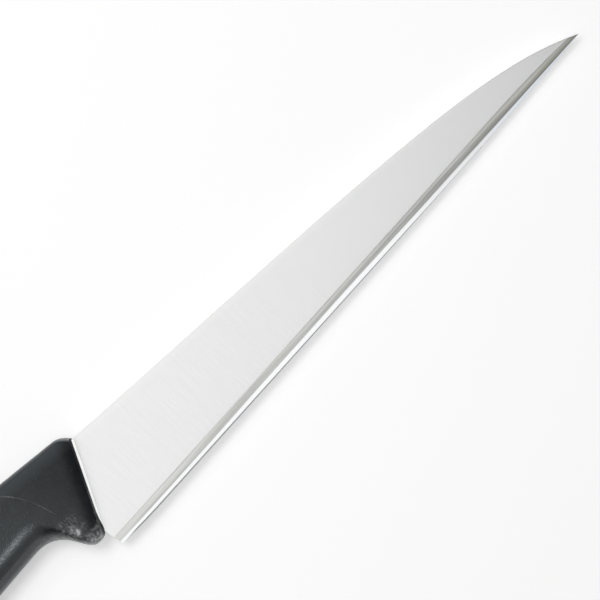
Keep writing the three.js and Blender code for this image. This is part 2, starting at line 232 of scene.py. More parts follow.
# Plastic: a band gives the values of the noise between which a mark comes in
PLASTIC_TONE = (0.004, 0.0055, 0.0075)
DARK_SHARE = 0.2  # of that tone, between the mottles
PLASTIC_IOR = 1.46
PLASTIC_SHEEN = (0.9, 0.96, 1, 1)
PEBBLE_SWING = 0.06  # of the roughness, over the pebbles
MOTTLE_SIZE = 3
MOTTLE_BAND = (0.42, 0.62)
SCRATCH_SIZE = (0.15, 4, 4)
SCRATCH_BAND = (0.66, 0.76)
SCRATCH_SHARE = 0.5
SCRATCH_TONE = (0.05, 0.05, 0.05)
SPECK_SIZE = 0.5
SPECK_BAND = (0.81, 0.84)
SPECK_TONE = (0.08, 0.08, 0.08)

# Painted sheen and highlights, and wear, on the handle: pairs give the places along one axis between which it
# comes in, or ends
# painted sheen: the handle's belly and back paler, standing in for grazing reflections along them
RIM_SHEEN_TONE = (0.08, 0.09, 0.099)
SHEEN_ON_BACK = 0.55  # as a share of the belly's painted sheen
SHEEN_DOWN = 7  # from the back's line to where its painted sheen ends
SHEEN_END_X = (-16, -8)
SHEEN_END_Y = (30, 36)
SHEEN_END_Z = (2.5, 7.5)
# the guard's rim and notch are paler, partly worn and partly painted sheen
WEAR_AND_SHEEN_TONE = (0.52, 0.53, 0.53)
RIM_X = (-13, -8)
RIM_END_Y = (GUARD_LOW + 1, GUARD_LOW + 6)
RIM_Z = (1, 6)
NOTCH_SHARE = 0.8
NOTCH_X = (-24, -8)
NOTCH_END_X = (-1.5, 0.5)
NOTCH_END_Y = (24, 30)
NOTCH_Z = (0, 4)
NOTCH_END_Z = (4, 8)
# painted highlight on a scuffed patch of the guard
SCUFF_HIGHLIGHT_MIDDLE = (-7.6, 16.7, 8)
SCUFF_HIGHLIGHT_SIZE = (1.6, 3.4, 6)
SCUFF_HIGHLIGHT_STRENGTH = 2
FAINT_MIDDLE = (-8.5, 18, 8)
FAINT_SIZE = (7, 7, 6)
STREAK_SIZE = (0.5, 3, 3)
STREAK_BAND = (0.4, 0.6)
STREAK_SHARE = 0.5
SPECKLE_SIZE = 1.3
SPECKLE_BAND = (0.42, 0.62)
SPECKLE_SHARES = (0.2, 1.2)
# the seam's pale line: wear, and a painted highlight along the core's edge
SEAM_WEAR_AND_HIGHLIGHT_TONE = (0.095, 0.099, 0.103)
SEAM_PATCHES = [((-15.4, 43, 9.7), (14, 7, 6)), ((-10.5, 30.6, 9.7), (8, 7, 6))]  # each middle and size
SEAM_GRAIN = 0.8
SEAM_SHARES = (0.1, 1.5)

# Floor and light
FLOOR_COLOUR = (0.8, 0.8, 0.8, 1)
FLOOR_GLOW = 0.44  # added to the lit floor where it is seen or mirrored
FLOOR_REACH = 4000
FLOOR_GAP = 0.1  # below the knife's lowest place
FLOOR_TURN = 0.6  # share of the way from level to the blade's own plane
ROOM_LIGHT = 0.18
SPOT_BLEND = 0.6


def slope(angle):
    return math.tan(math.radians(angle))


def lerp(a, b, share):
    return a + (b - a) * share


def spine_at(x):
    return SPINE_HEIGHT - x * slope(SPINE_ANGLE)


def rear_at(y):
    return -y * slope(HEEL_LEAN)


FRONT_TOP = np.array([FRONT_REACH, spine_at(FRONT_REACH) + FRONT_LIP])
BUTT_X = -HANDLE_LENGTH
GROUND_BACK = GRIND_DEPTH - STOCK_THICKNESS / 2
BACK_MOUNT = (110, 18, GROUND_BACK)  # the record's mount on the blade's back


def front_at(y):
    return FRONT_REACH - (FRONT_TOP[1] - y) * slope(FRONT_LEAN)


def back_at(x):
    return spine_at(FRONT_REACH) + BACK_STEP + (FRONT_REACH - x) * slope(BACK_RISE)


# Curves

def bezier(controls, steps):
    """Points of the curve with these controls."""
    share = np.linspace(0, 1, steps + 1)[:, None]
    points = [np.asarray(control, float) for control in controls]
    while len(points) > 1:
        points = [lerp(a, b, share) for a, b in zip(points, points[1:])]
    return points[0]


def towards(start, end, distance):
    way = np.subtract(end, start)
    return np.add(start, way / np.linalg.norm(way) * distance)


def rounded_path(start, corners, end):
    """Points of a path through corners, each rounded by a curve that starts and ends that far from it."""
    stops = [start, *[at for at, _ in corners], end]
    points = [[start]]
    for (at, rounding), before, after in zip(corners, stops, stops[2:]):
        curve = [towards(at, before, rounding), at, towards(at, after, rounding)]
        points.append(bezier(curve, CURVE_STEPS))
    return np.vstack([*points, [end]])


class Track:
    """A row of points that gives the place at a share of its length."""

    def __init__(self, points):
        steps = np.linalg.norm(np.diff(points, axis=0), axis=1)
        self.points = points
        self.run = np.concatenate([[0], np.cumsum(steps)])
        self.length = self.run[-1]

    def at(self, share):
        run = np.clip(share, 0, 1) * self.length
        return np.stack([np.interp(run, self.run, self.points[:, axis]) for axis in (0, 1)], axis=-1)


def back_track():
    shoulder = (FRONT_REACH - SHOULDER_BACK, back_at(FRONT_REACH - SHOULDER_BACK))
    shoulder_end = (FRONT_REACH - SHOULDER_ROUND, back_at(FRONT_REACH - SHOULDER_ROUND))
    corners = [((-CREST_BACK, back_at(-CREST_BACK)), CREST_ROUND), ((BUTT_X, BUTT_HIGH), BUTT_HIGH_ROUND)]
    rest = rounded_path(shoulder_end, corners, (BUTT_X, BUTT_HIGH - BUTT_HIGH_ROUND))
    return Track(np.vstack([bezier([FRONT_TOP, shoulder, shoulder_end], CURVE_STEPS), rest[1:]]))


def belly_track():
    guard_front = front_at(GUARD_LOW) + GUARD_REACH
    guard_back = guard_front - GUARD_THICKNESS
    notch = guard_back - (GRIP_LOW - GUARD_LOW) / slope(GUARD_BACK_ANGLE)
    corners = [
        ((guard_front, GUARD_LOW), GUARD_ROUND),
        ((guard_back, GUARD_LOW), GUARD_ROUND),
        ((notch, GRIP_LOW), NOTCH_ROUND),
        ((-PALM_BACK, PALM_LOW), PALM_ROUND),
        ((BUTT_X + WAIST_FROM_BUTT, WAIST_LOW), WAIST_ROUND),
        ((BUTT_X, BUTT_LOW), BUTT_LOW_ROUND),
    ]
    foot = (front_at(FRONT_FOOT), FRONT_FOOT)
    return Track(rounded_path(foot, corners, (BUTT_X, BUTT_LOW + BUTT_LOW_ROUND)))


BACK = back_track()
BELLY = belly_track()


# Handle skin: columns run from the back over its rounding, down the flat side and round to the belly

TURNS = np.concatenate([[0, MOULD_TURN], np.linspace(2 * MOULD_TURN, math.pi / 2, ROUND_STEPS)])
FLATS = np.linspace(0, 1, FLAT_STEPS + 1)[1:-1]
RISE = 1 - np.cos(TURNS)
HIGH_RISE = np.concatenate([RISE, np.ones(len(FLATS) + len(TURNS))])
LOW_RISE = HIGH_RISE[::-1]
FLAT_SHARE = np.concatenate([np.zeros(len(TURNS)), FLATS, np.ones(len(TURNS))])
EDGE_SHARE = np.concatenate([np.sin(TURNS), np.ones(len(FLATS)), np.sin(TURNS)[::-1]])
ABOVE_WALL = np.concatenate([TURNS > MOULD_TURN, np.zeros(len(FLATS) + len(TURNS))])
COLUMNS = len(EDGE_SHARE)
MOULD_SINK = np.full(COLUMNS, MOULD_LINE)  # of the skin below the mould's line
MOULD_SINK[[0, -1]] = LINE_SINK


def round_over(depth, run):
    """A quarter ellipse that climbs from 0 to 1 over the run."""
    left = 1 - np.clip(depth / run, 0, 1)
    return np.sqrt(1 - left * left)


def grown(stations, start, end):
    """A share that grows smoothly from 0 at the start to 1 at the end."""
    share = np.clip((stations - start) / (end - start), 0, 1)
    return share * share * (3 - 2 * share)


def side_height(x, y, share):
    """The handle's half thickness at a place on its side, before the edges are rounded."""
    behind_front = (front_at(y) - x) * math.cos(math.radians(FRONT_LEAN))
    run = lerp(DOME_HIGH, DOME_LOW, share)
    dome = DOME_DROP * run * np.clip(1 - behind_front / run, 0, 1) ** 3
    front = lerp(LIP_THICKNESS / 2, HANDLE_THICKNESS / 2 - dome, round_over(behind_front, FRONT_ROUND))
    butt = np.maximum(round_over(x - BUTT_X, BUTT_ROUND), BUTT_EDGE / HANDLE_THICKNESS)
    return front * butt


def skin(stations, inset):
    """Places on the handle's right side, a column for each place from back to belly, in from the skin."""
    high = BACK.at(stations / BACK.length)
    low = BELLY.at(stations / BACK.length)
    length = np.linalg.norm(high - low, axis=-1)
    high_round = lerp(LIP_ROUND, BACK_ROUND, grown(stations, 0, BACK_TO))
    low_round = lerp(LIP_ROUND, GUARD_BELLY, grown(stations, 0, LIP_TO))
    low_round = low_round + (BELLY_ROUND - GUARD_BELLY) * grown(stations, BELLY_FROM, BELLY_TO)
    high_round = np.maximum(high_round - inset, LEAST_ROUND)
    low_round = np.maximum(low_round - inset, LEAST_ROUND)
    fit = np.minimum((length - 2 * inset) / (high_round + low_round), 1)
    top = inset + high_round * fit * HIGH_RISE
    end = length - inset - low_round * fit * LOW_RISE
    down = lerp(top, end, FLAT_SHARE)
    place = lerp(high, low, (down / length)[..., None])
    x, y = place[..., 0], place[..., 1]
    wall = BACK_WALL * (1 - grown(stations, WALL_FROM, WALL_TO)) * ABOVE_WALL
    z = (side_height(x, y, down / length) - inset) * lerp(EDGE_SHARE, 1, wall)
    return np.stack([x, y, z], axis=-1)


def whole(sides):
    """Closed rings from right sides, with their mirror images as left sides."""
    return np.concatenate([sides, sides[:, -2:0:-1] * (1, 1, -1)], axis=1)


def seam_stations():
    """Each column's station along the back where it crosses the seam of core and sleeve."""
    seam = bezier([(-SEAM_LOW, GUARD_LOW), (-SEAM_BOW, SEAM_BOW_HEIGHT), (-SEAM_HIGH, back_at(-SEAM_HIGH))],
                  CURVE_STEPS)
    low = np.zeros(COLUMNS)
    high = np.full(COLUMNS, float(STEM_STRAIGHT))
    for _ in range(HALVINGS):
        middle = (low + high) / 2
        place = skin(middle[None], 0)[0]
        ahead = place[:, 0] > np.interp(place[:, 1], seam[:, 1], seam[:, 0])
        low = np.where(ahead, middle, low)
        high = np.where(ahead, high, middle)
    return high


SEAM = seam_stations()


def station_at(x):
    """The station where the back passes a place behind the heel."""
    stations = np.linspace(0, BACK.length, STATION_STEPS)
    return np.interp(-x, -BACK.at(stations / BACK.length)[:, 0], stations)


def middle_at(x):
    """The handle's middle height at a place behind the heel."""
    share = station_at(x) / BACK.length
    return (BACK.at(share)[1] + BELLY.at(share)[1]) / 2


TANG_END = BUTT_X + BUTT_SOLID
TANG_HEIGHTS = [middle_at(TANG_END), middle_at(-TANG_FRONT_BACK)]


def tang_axis_at(x):
    share = (x - TANG_END) / (-TANG_FRONT_BACK - TANG_END)
    return lerp(*TANG_HEIGHTS, share)


# Meshes

def loft(rings):
    """Vertices and faces of a closed body through rings that all have as many points."""
    count, sides = rings.shape[:2]
    faces = []
    for ring in range(count - 1):
        for side in range(sides):
            a = ring * sides + side
            b = ring * sides + (side + 1) % sides
            faces.append((a, b, b + sides, a + sides))
    faces.append(tuple(range(sides))[::-1])
    faces.append(tuple(range((count - 1) * sides, count * sides)))
    return rings.reshape(-1, 3), faces


def plate(outline, thickness):
    """Vertices and faces of a flat plate of an outline, centred on the blade's middle plane."""
    outline = np.asarray(outline, float)
    rings = [np.column_stack([outline, np.full(len(outline), z)]) for z in (-thickness / 2, thickness / 2)]
    return loft(np.stack(rings))


def piece(name, vertices, faces, materials, zones=None):
    """A mesh object in the knife's place. Zones give each face's material, or else it is the first."""
    mesh = bpy.data.meshes.new(name)
    mesh.from_pydata(np.asarray(vertices) * MM, [], faces)
    mesh.transform(KNIFE)
    for material in materials:
        mesh.materials.append(material)
    if zones is not None:
        mesh.polygons.foreach_set("material_index", zones)
    body = bmesh.new()
    body.from_mesh(mesh)
    bmesh.ops.remove_doubles(body, verts=body.verts, dist=MERGE_WITHIN * MM)
    bmesh.ops.recalc_face_normals(body, faces=body.faces)
    body.to_mesh(mesh)
    body.free()
    made = bpy.data.objects.new(name, mesh)
    bpy.context.scene.collection.objects.link(made)
    return made


def combine(base, other, operation):
    """Joins the other piece to the base or cuts it out, and removes it."""
    modifier = base.modifiers.new(operation, "BOOLEAN")
    modifier.operation = operation
    modifier.solver = "MANIFOLD"
    modifier.object = other
    bpy.context.view_layer.update()
    result = base.evaluated_get(bpy.context.evaluated_depsgraph_get())
    mesh = bpy.data.meshes.new_from_object(result)
    base.modifiers.clear()
    base.data = mesh
    bpy.data.objects.remove(other)


def smooth(made):
    made.data.shade_smooth()
    made.data.set_sharp_from_angle(angle=math.radians(SHARP_ANGLE))


def knife_place():
    """The knife's own axes in the frame, from the mount on the blade's flat back."""
    mount = next(mount for mount in frame["record"]["mounts"] if mount["name"] == "blade_back")
    turn = Vector((0, 0, 1)).rotation_difference(-Vector(mount["axis"])).to_matrix().to_4x4()
    spot = turn @ (Vector(BACK_MOUNT) * MM)
    return Matrix.Translation(Vector(mount["pos_m"]) - spot) @ turn


KNIFE = knife_place()


# Materials

def material_of(name, **settings):
    """A node material with one shader, whose plain settings are given by its socket names."""
    material = bpy.data.materials.new(name)
    material.use_nodes = True
    shader = material.node_tree.nodes["Principled BSDF"]
    for socket, value in settings.items():
        shader.inputs[socket.replace("_", " ")].default_value = value
    return material, shader


def node(material, kind, inputs=None, **settings):
    """A node of a material. Inputs are values, or sockets to link from."""
    made = material.node_tree.nodes.new(kind)
    for name, value in settings.items():
        setattr(made, name, value)
    for name, value in (inputs or {}).items():
        if isinstance(value, bpy.types.NodeSocket):
            material.node_tree.links.new(value, made.inputs[name])
        else:
            made.inputs[name].default_value = value
    return made


def join(material, value, shader, socket):
    material.node_tree.links.new(value, shader.inputs[socket])


def calculate(material, operation, *numbers):
    """The result of an operation on numbers, which are values or sockets."""
    return node(material, "ShaderNodeMath", dict(enumerate(numbers)), operation=operation).outputs[0]


def times(material, *shares):
    """The product of two shares or more."""
    product = shares[0]
    for share in shares[1:]:
        product = calculate(material, "MULTIPLY", product, share)
    return product


def largest(material, *shares):
    """The largest of two shares or more."""
    most = shares[0]
    for share in shares[1:]:
        most = calculate(material, "MAXIMUM", most, share)
    return most


def spread(material, value, low, high, start=0.3, end=0.7):
    """The value mapped from between start and end to between low and high."""
    sockets = {"Value": value, "From Min": start, "From Max": end, "To Min": low, "To Max": high}
    return node(material, "ShaderNodeMapRange", sockets).outputs["Result"]


def blend(material, share, first, second):
    """A colour between two, by the share."""
    mix = node(material, "ShaderNodeMix", data_type="RGBA")
    material.node_tree.links.new(share, mix.inputs["Factor"])
    for socket, colour in (("A", first), ("B", second)):
        target = next(s for s in mix.inputs if s.name == socket and s.type == "RGBA")
        if isinstance(colour, bpy.types.NodeSocket):
            material.node_tree.links.new(colour, target)
        else:
            target.default_value = (*colour, 1)
    return next(s for s in mix.outputs if s.type == "RGBA")


def relief(material, shader, height, depth):
    """Bumps of the given depth in millimetres."""
    bump = node(material, "ShaderNodeBump", {"Height": height, "Distance": depth * MM, "Strength": 1.0})
    join(material, bump.outputs["Normal"], shader, "Normal")


def place_on_knife(material, size=(1, 1, 1)):
    """The place along the knife's axes, counted in steps of this size in millimetres."""
    axes = {
        "Vector": node(material, "ShaderNodeTexCoord").outputs["Object"],
        "Location": KNIFE.translation,
        "Rotation": KNIFE.to_euler(),
        "Scale": tuple(length * MM for length in size),
    }
    return node(material, "ShaderNodeMapping", axes, vector_type="TEXTURE").outputs["Vector"]


def places_on_knife(material):
    """The place along each of the knife's axes, in millimetres."""
    return node(material, "ShaderNodeSeparateXYZ", {"Vector": place_on_knife(material)}).outputs


def grain(material, size, detail=2.0):
    """Noise whose marks have this size along the knife's axes, in millimetres."""
    noise = {"Vector": place_on_knife(material, size), "Scale": 1.0, "Detail": detail}
    return node(material, "ShaderNodeTexNoise", noise).outputs["Fac"]


def patch(material, middle, size):
    """A share that falls from 1 in the middle of a patch to 0 at this distance along each axis."""
    away = {0: place_on_knife(material, size), 1: [place / half for place, half in zip(middle, size)]}
    distance = node(material, "ShaderNodeVectorMath", away, operation="DISTANCE").outputs["Value"]
    return spread(material, distance, 1, 0, 0, 1)


def guard_wear_and_sheen(material):
    """How pale the guard is, in speckles: its rim and the notch behind it, partly worn and partly painted
    sheen, and a painted highlight on a scuff among faint streaks.
    """
    places = places_on_knife(material)
    rim = times(
        material,
        spread(material, places["X"], 0, 1, *RIM_X),
        spread(material, places["Y"], 1, 0, *RIM_END_Y),
        spread(material, places["Z"], 0, 1, *RIM_Z),
    )
    notch = times(
        material,
        spread(material, places["X"], 0, NOTCH_SHARE, *NOTCH_X),
        spread(material, places["X"], 1, 0, *NOTCH_END_X),
        spread(material, places["Y"], 1, 0, *NOTCH_END_Y),
        spread(material, places["Z"], 0, 1, *NOTCH_Z),
        spread(material, places["Z"], 1, 0, *NOTCH_END_Z),
    )
    scuff_highlight = spread(material, patch(material, SCUFF_HIGHLIGHT_MIDDLE, SCUFF_HIGHLIGHT_SIZE), 0, SCUFF_HIGHLIGHT_STRENGTH, 0, 1)
    streaks = spread(material, grain(material, STREAK_SIZE), 0, STREAK_SHARE, *STREAK_BAND)
    faint = times(material, patch(material, FAINT_MIDDLE, FAINT_SIZE), streaks)
    speckles = grain(material, (SPECKLE_SIZE,) * 3, detail=3.0)
    speckles = spread(material, speckles, *SPECKLE_SHARES, *SPECKLE_BAND)
    return times(material, largest(material, rim, notch, scuff_highlight, faint), speckles)


def painted_rim_sheen(material):
    """Painted sheen on the handle's rims, standing in for grazing reflections: most along its belly and back,
    and less towards the middle of its side.
    """
    places = places_on_knife(material)
    up = {0: place_on_knife(material), 1: (slope(BACK_RISE), 1, 0)}
    level = node(material, "ShaderNodeVectorMath", up, operation="DOT_PRODUCT").outputs["Value"]
    back = spread(material, level, 0, SHEEN_ON_BACK, back_at(0) - SHEEN_DOWN, back_at(0))
    belly = times(
        material,
        spread(material, places["X"], 1, 0, *SHEEN_END_X),
        spread(material, places["Y"], 1, 0, *SHEEN_END_Y),
        spread(material, calculate(material, "ABSOLUTE", places["Z"]), 1, 0, *SHEEN_END_Z),
    )
    return largest(material, back, belly)


def seam_wear_and_highlight(material):
    """How pale the line along the seam is, in patches: worn, and a painted highlight where the core's edge
    catches the light.
    """
    seam_line = largest(material, *[patch(material, *place) for place in SEAM_PATCHES])
    specks = spread(material, grain(material, (SEAM_GRAIN,) * 3, detail=3.0), *SEAM_SHARES)
    return times(material, seam_line, specks)


def steel(name, tones, lines, roughness, depth, tip=None):
    """Ground steel whose marks have the lines' size along the knife's axes, with other tones at the tip that
    paint in how its light and reflections change there.
    """
    material, shader = material_of(name, Metallic=1.0)
    marks = grain(material, lines, detail=4.0)
    share = spread(material, marks, 0, 1)
    tone = blend(material, share, *tones)
    # the tip's tones paint in the change of light, shade and reflection towards the tip; they are not a
    # different steel
    if tip:
        ahead = spread(material, places_on_knife(material)["X"], 0, 1, *TIP_TONES_X)
        tone = blend(material, ahead, tone, blend(material, share, *tip))
    join(material, tone, shader, "Base Color")
    swing = roughness * CLOUD_SWING
    gloss = spread(material, grain(material, CLOUD_SIZE), roughness - swing, roughness + swing, 0, 1)
    join(material, gloss, shader, "Roughness")
    relief(material, shader, marks, depth)
    return material


def plastic(name, roughness, pebble, depth, seam=False):
    """Charcoal moulded plastic with pebbles of that size and depth, fine scratches and pale specks."""
    material, shader = material_of(name, IOR=PLASTIC_IOR, Specular_Tint=PLASTIC_SHEEN)
    pebbles = grain(material, (pebble,) * 3, detail=3.0)
    mottle = spread(material, grain(material, (MOTTLE_SIZE,) * 3, detail=4.0), 0, 1, *MOTTLE_BAND)
    scratches = grain(material, SCRATCH_SIZE, detail=1.0)
    scratches = spread(material, scratches, 0, SCRATCH_SHARE, *SCRATCH_BAND)
    specks = spread(material, grain(material, (SPECK_SIZE,) * 3, detail=0.0), 0, 1, *SPECK_BAND)
    tone = blend(material, mottle, [DARK_SHARE * level for level in PLASTIC_TONE], PLASTIC_TONE)
    # painted sheen along the belly and back
    tone = blend(material, painted_rim_sheen(material), tone, RIM_SHEEN_TONE)
    tone = blend(material, scratches, tone, SCRATCH_TONE)
    tone = blend(material, specks, tone, SPECK_TONE)
    # wear and painted sheen on the guard, and a painted highlight on its scuff
    tone = blend(material, guard_wear_and_sheen(material), tone, WEAR_AND_SHEEN_TONE)
    if seam:
        # the seam's pale line, worn and with a painted highlight
        tone = blend(material, seam_wear_and_highlight(material), tone, SEAM_WEAR_AND_HIGHLIGHT_TONE)
    join(material, tone, shader, "Base Color")
    gloss = spread(material, pebbles, roughness - PEBBLE_SWING, roughness + PEBBLE_SWING)
    join(material, gloss, shader, "Roughness")
    relief(material, shader, pebbles, depth)
    return material


STEEL_FINISHES = {
    "face": steel("steel_face", FACE_TONES, lines=(0.25, 14, 4), roughness=0.262, depth=0.0006,
                  tip=FACE_TIP_LIGHT_TONES),
    "bevel": steel("steel_bevel", BEVEL_TONES, lines=(40, 0.5, 2), roughness=0.31, depth=0.004,
                   tip=BEVEL_TIP_SHADE_TONES),
    "hone": steel("steel_hone", HONE_TONES, lines=(0.3, 6, 2), roughness=0.16, depth=0.0005,
                  tip=HONE_TIP_REFLECTION_TONES),
    "edge": steel("steel_edge_painted_shade", EDGE_SHADE_TONES, lines=(0.2, 4, 4), roughness=0.34, depth=0.001),
    "spine": steel("steel_spine", SPINE_TONES, lines=(0.2, 4, 4), roughness=0.34, depth=0.001),
    "strip": steel("steel_strip", STRIP_TONES, lines=(6, 0.3, 2), roughness=0.2, depth=0.0005),
}
ZONES = list(STEEL_FINISHES)
CORE_FINISH = plastic("core_plastic", roughness=0.36, pebble=0.6, depth=0.006)
GRIP_FINISH = plastic("grip_plastic", roughness=0.34, pebble=0.7, depth=0.075)
FRONT_FINISH = plastic("core_front", roughness=0.75, pebble=0.6, depth=0.006)
# the seam's pale line, worn and with a painted highlight
SEAM_LINE_FINISH = plastic("core_seam_line_wear_and_highlight", roughness=0.4, pebble=0.3, depth=0.01, seam=True)


# Blade

def edge_run(x):
    return np.maximum(x - EDGE_STRAIGHT, 0) / (BLADE_LENGTH - EDGE_STRAIGHT)


def heel_run(x):
    return np.maximum(1 - x / HEEL_RUN, 0) ** 2


def edge_at(x):
    return TIP_RISE * edge_run(x) ** 2 + HEEL_RISE * heel_run(x)


def hone_at(x):
    """Width of the honed band, whose upper line rises to the heel, swells and runs straight to the tip."""
    swell = HONE_SWELL * grown(x, SWELL_FROM, SWELL_FULL) * (1 - grown(x, SWELL_OVER, SWELL_TO))
    line = lerp(HONE_WIDTH, TIP_RISE + HONE_TIP_WIDTH, edge_run(x)) + HEEL_LINE_RISE * heel_run(x)
    return line + swell - edge_at(x)


def micro_at(x):
    """Width of the last grind, which comes in from the heel and runs out towards the tip."""
    taper = 1 - MICRO_TAPER * x / BLADE_LENGTH
    return MICRO_WIDTH * taper * grown(x, 0, MICRO_RUN) * (1 - edge_run(x)) ** 2 + MICRO_LEAST


def point_run(x):
    """Share of the way along the point, squared."""
    return (np.maximum(x - POINT_START, 0) / (BLADE_LENGTH - POINT_START)) ** 2


def bevel_at(x):
    """Height of the bevel's upper line, which comes down towards the tip."""
    return BEVEL_HEIGHT - BEVEL_DROP * point_run(x)


def ground_face(x):
    share = np.clip(x / BLADE_LENGTH, 0, 1)
    return GROUND_BACK + lerp(STOCK_THICKNESS - 2 * GRIND_DEPTH, TIP_THICKNESS, share)


def left_at(x):
    """Height of the left face, which is flat but for the thinned point."""
    return GROUND_BACK + LEFT_CLEAR + TIP_THINNING * point_run(x)


def soft_least(a, b, width):
    """The lesser of two heights, rounded where they are within a width of each other."""
    near = np.maximum(width - np.abs(a - b), 0) / width
    return np.minimum(a, b) - near * near * width / 4


def face_at(x, y):
    """Height of the right face: the flat, the hollow bevel, the honed band or the last grind at the edge."""
    rise = y - edge_at(x)
    hone = hone_at(x)
    micro_width = micro_at(x)
    bevel_width = bevel_at(x) - edge_at(x) - hone
    hollow = BEVEL_HOLLOW * bevel_width / (BEVEL_HEIGHT - HONE_WIDTH)
    left = left_at(x)
    flat = ground_face(x)
    hone_face = left + EDGE_THICKNESS + rise * slope(HONE_ANGLE)
    hone_top = left + EDGE_THICKNESS + hone * slope(HONE_ANGLE)
    share = (rise - hone) / bevel_width
    inside = np.clip(share, 0, 1)
    bevel = lerp(hone_top, flat, share) - 4 * hollow * inside * (1 - inside)
    height = soft_least(flat, bevel, BEVEL_CREASE * (flat - hone_top) / bevel_width)
    height = soft_least(height, hone_face, HONE_CREASE * slope(HONE_ANGLE))
    micro_top = EDGE_THICKNESS + micro_width * slope(HONE_ANGLE)
    micro = left + EDGE_FINE + rise * (micro_top - EDGE_FINE) / micro_width
    return np.minimum(height, micro)


def blade_section(x, spine, lean):
    """A closed ring of the ground blade, up the right face and down the left, and each side's zone."""
    edge = float(edge_at(x))
    left = float(left_at(x))
    hone = edge + float(hone_at(x))
    micro = edge + float(micro_at(x))
    bevel = float(bevel_at(x))
    rounding = min(SPINE_ROUND, (spine - edge) * TIP_SHARE)
    top = spine - rounding
    crease = np.linspace(-1, 1, CREASE_POINTS)
    hone_crease = hone + HONE_CREASE * crease
    bevel_crease = bevel + BEVEL_CREASE * crease
    flat = bevel_crease[-1]
    right = [
        ("edge", np.linspace(edge, micro, EDGE_POINTS)),
        ("hone", np.linspace(micro, hone_crease[0], HONE_POINTS)[1:]),
        ("hone", hone_crease[1:HONE_SPLIT]),
        ("bevel", hone_crease[HONE_SPLIT:]),
        ("bevel", np.linspace(hone_crease[-1], bevel_crease[0], BEVEL_POINTS)[1:]),
        ("bevel", bevel_crease[1:BEVEL_SPLIT]),
        ("face", bevel_crease[BEVEL_SPLIT:]),
        ("face", np.linspace(flat, max(top, flat), FACE_POINTS)[1:]),
    ]
    rows = np.minimum(np.concatenate([heights for _, heights in right]), top)
    zones = [zone for zone, heights in right for _ in heights][1:]
    points = [(y, float(face_at(x, y))) for y in rows]
    ridge = points[-1][1]
    small = min(rounding, (ridge - left) / 2)
    for turn in np.linspace(0, math.pi / 2, SPINE_POINTS)[1:]:
        points.append((top + rounding * math.sin(turn), ridge - small * (1 - math.cos(turn))))
    for turn in np.linspace(math.pi / 2, 0, SPINE_POINTS):
        points.append((top + rounding * math.sin(turn), left + small * (1 - math.cos(turn))))
    zones += ["spine"] * (2 * SPINE_POINTS - 1)
    for y in np.linspace(top, edge, LEFT_POINTS)[1:]:
        points.append((y, left))
    zones += ["face"] * (LEFT_POINTS - 1) + ["edge"]
    ring = np.array([(x + lean * rear_at(y), y, z) for y, z in points])
    return ring, [ZONES.index(zone) for zone in zones]


def blade_stations():
    """Places along the blade with the spine's height there, and how far the section leans with the heel."""
    stations = []
    for x in np.arange(0, SPINE_STRAIGHT, BLADE_STEP):
        lean = max(1 - x / FRONT_REACH, 0)
        stations.append((x, spine_at(x + lean * rear_at(SPINE_HEIGHT)), lean))
    bend = SPINE_STRAIGHT + SWEEP_LEAD
    sweep = bezier([
        (SPINE_STRAIGHT, spine_at(SPINE_STRAIGHT)),
        (bend, spine_at(bend)),
        (BLADE_LENGTH - TIP_LEAD, TIP_RISE + TIP_LEAD * slope(TIP_ANGLE)),
        (BLADE_LENGTH, TIP_RISE),
    ], SWEEP_STEPS)
    tip = BLADE_LENGTH - TIP_FLAT
    stations += [(x, y, 0) for x, y in sweep if x < tip]
    stations.append((tip, float(np.interp(tip, sweep[:, 0], sweep[:, 1])), 0))
    return stations


def meet(start, way, other, other_way):
    """Where two lines cross, each given by a point and a direction."""
    share = np.linalg.solve(np.column_stack([way, np.negative(other_way)]), np.subtract(other, start))[0]
    return np.add(start, np.multiply(way, share))


def stock_outline(grow, front_x):
    """Outline of the unground stock behind a line that leans like the handle's front, and of the tang."""
    outer = GRIND_DEPTH + grow
    spine = (0, SPINE_HEIGHT + outer), (1, -slope(SPINE_ANGLE))
    rear = (-outer, 0), (-slope(HEEL_LEAN), 1)
    front = (front_x, FRONT_TOP[1]), (slope(FRONT_LEAN), 1)
    shoulder_low = tang_axis_at(0) - TANG_WIDTH / 2 - grow
    end_half = TANG_END_WIDTH / 2 + grow
    return [
        meet(*front, *spine),
        meet(*front, *rear),
        (rear_at(shoulder_low) - outer, shoulder_low),
        (TANG_END - grow, tang_axis_at(TANG_END) - end_half),
        (TANG_END - grow, tang_axis_at(TANG_END) + end_half),
        meet(*rear, *spine),
    ]


def stock_body():
    """Vertices and faces of the stock, whose edges in front of the handle ramp down to the ground faces."""
    half = STOCK_THICKNESS / 2
    ramp_end = FRONT_REACH + STRIP_WIDTH / math.cos(math.radians(FRONT_LEAN))
    low = half - STRIP_DROP
    rings = []
    for z, front_x in ((-half, FRONT_REACH), (-low, ramp_end), (low, ramp_end), (half, FRONT_REACH)):
        outline = np.array(stock_outline(0, front_x))
        rings.append(np.column_stack([outline, np.full(len(outline), z)]))
    return loft(np.stack(rings))


def pins(name, diameter, length, materials, zone):
    """Round pins across the tang, one for each of its holes."""
    turns = np.arange(HOLE_SEGMENTS) * math.tau / HOLE_SEGMENTS
    made = []
    for hole in range(TANG_HOLES):
        x = -TANG_HOLE_FIRST - hole * TANG_HOLE_PITCH
        circle = np.column_stack([np.cos(turns), np.sin(turns)]) * diameter / 2 + (x, tang_axis_at(x))
        vertices, faces = plate(circle, length)
        made.append(piece(name, vertices, faces, materials, [zone] * len(faces)))
    return made


